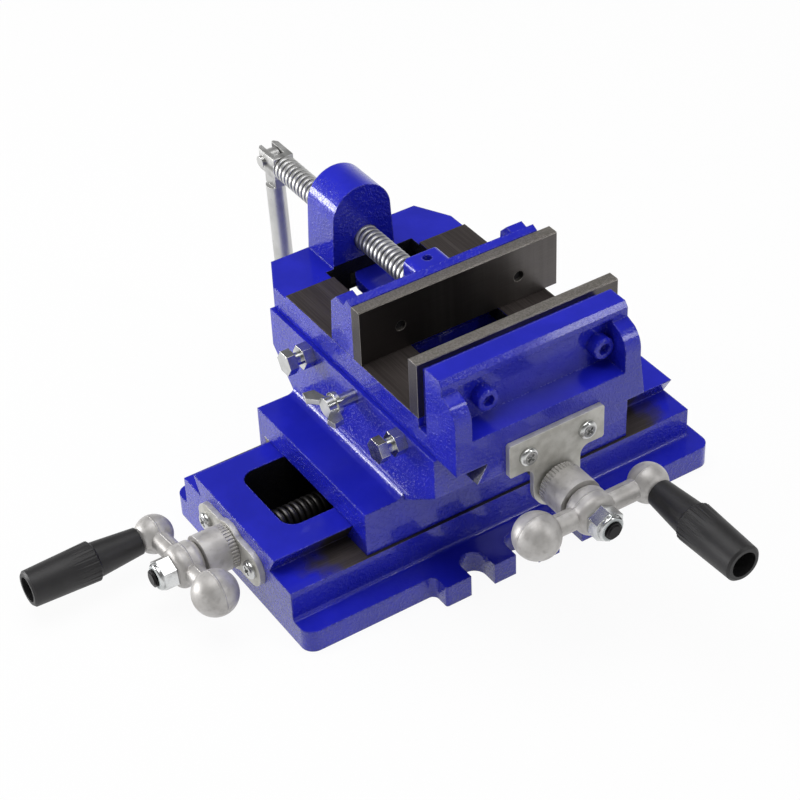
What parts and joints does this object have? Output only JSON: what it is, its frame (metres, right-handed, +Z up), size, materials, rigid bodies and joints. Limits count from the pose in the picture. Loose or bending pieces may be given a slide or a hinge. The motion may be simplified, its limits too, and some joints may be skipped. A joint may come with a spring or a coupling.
{
  "type": "compound drill press vise",
  "caption": "Cross-slide drill press vise: base, saddle and vise body on dovetail ways with two screw feeds, and a screw-driven moving jaw.",
  "frame": {"origin": "centre of the base's flat underside", "axes": "+Z up, +X along the base's ways and the X feed screw, +Y along the vise body's ways from the fixed jaw towards the clamp screw's handle"},
  "size_m": [0.2993, 0.3098, 0.1332],
  "materials": {
    "blue_paint": "glossy cast enamel",
    "ground_steel": "ground",
    "bracket_steel": "zinc plated, pitted",
    "zinc_fastener": "bright zinc plated",
    "cast_aluminium": "matte as cast",
    "thread_steel": "turned",
    "bright_steel": "polished",
    "black_plastic": "satin, fluted",
    "nut_iron": "machined",
    "gib_steel": "milled"
  },
  "bodies": {
    "base": {"base_casting": "blue_paint", "x_bracket_plate": "bracket_steel", "x_bracket_screws": "zinc_fastener"},
    "x_screw": {"x_lead_screw": "thread_steel", "x_dial": "cast_aluminium", "x_crank": "cast_aluminium", "x_lock_nut": "zinc_fastener", "x_grip_bolt": "zinc_fastener"},
    "x_grip_body": {"x_grip": "black_plastic"},
    "saddle": {"saddle_casting": "blue_paint", "x_feed_nut": "nut_iron", "y_feed_nut": "nut_iron", "y_gib": "gib_steel", "x_gib": "gib_steel", "y_gib_bolts": "zinc_fastener", "y_gib_lock_nuts": "zinc_fastener", "x_gib_bolts": "zinc_fastener", "x_gib_lock_nuts": "zinc_fastener"},
    "lock_bolt": {"wing_bolt": "zinc_fastener"},
    "vise": {"vise_body": "blue_paint", "fixed_jaw_plate": "ground_steel", "fixed_jaw_screws": "blue_paint", "y_bracket_plate": "bracket_steel", "y_bracket_screws": "zinc_fastener"},
    "y_screw": {"y_lead_screw": "thread_steel", "y_dial": "cast_aluminium", "y_crank": "cast_aluminium", "y_lock_nut": "zinc_fastener", "y_grip_bolt": "zinc_fastener"},
    "y_grip_body": {"y_grip": "black_plastic"},
    "jaw": {"moving_jaw": "blue_paint", "moving_jaw_plate": "ground_steel", "moving_jaw_screws": "zinc_fastener", "jaw_keeper": "blue_paint", "keeper_bolts": "zinc_fastener", "screw_retainer": "zinc_fastener"},
    "clamp": {"clamp_screw": "bright_steel", "handle_pin": "bright_steel"},
    "handle": {"clamp_handle": "bright_steel"}
  },
  "joints": [
    {"name": "x_feed", "type": "hinge", "parent": "base", "child": "x_screw", "pos_m": [-0.1055, 0, 0.02], "axis": [1, 0, 0], "range_deg": [-5225, 5585]},
    {"name": "x_slide", "type": "slide", "parent": "base", "child": "saddle", "axis": [1, 0, 0], "range_m": [-0.0465, 0.0435]},
    {"name": "x_grip_spin", "type": "hinge", "parent": "x_screw", "child": "x_grip_body", "pos_m": [-0.1355, 0.02911, 0.01591], "axis": [1, 0, 0], "continuous": true},
    {"name": "wing_bolt_turn", "type": "hinge", "parent": "saddle", "child": "lock_bolt", "pos_m": [-0.0475, -0.0102, 0.0799], "axis": [1, 0, 0], "range_deg": [-90, 90]},
    {"name": "y_slide", "type": "slide", "parent": "saddle", "child": "vise", "axis": [0, 1, 0], "range_m": [-0.06, 0.008]},
    {"name": "y_feed", "type": "hinge", "parent": "vise", "child": "y_screw", "pos_m": [0.0021, -0.084, 0.0615], "axis": [0, 1, 0], "range_deg": [-7205, 965]},
    {"name": "y_grip_spin", "type": "hinge", "parent": "y_screw", "child": "y_grip_body", "pos_m": [0.0315, -0.115, 0.0615], "axis": [0, 1, 0], "continuous": true},
    {"name": "jaw_slide", "type": "slide", "parent": "vise", "child": "jaw", "axis": [0, 1, 0], "range_m": [-0.0363, 0.044]},
    {"name": "clamp_turn", "type": "hinge", "parent": "jaw", "child": "clamp", "pos_m": [0.0005, 0.009, 0.106], "axis": [0, 1, 0], "range_deg": [-4361, 5285]},
    {"name": "handle_swing", "type": "hinge", "parent": "clamp", "child": "handle", "pos_m": [0.0005, 0.1345, 0.106], "axis": [-1, 0, 0], "range_deg": [-93, 12]}
  ],
  "couplings": [
    {"joint": "x_feed", "follows": "x_slide", "rad_per_m": -2094.4},
    {"joint": "y_feed", "follows": "y_slide", "rad_per_m": 2094.4},
    {"joint": "clamp_turn", "follows": "jaw_slide", "rad_per_m": 2094.4}
  ]
}
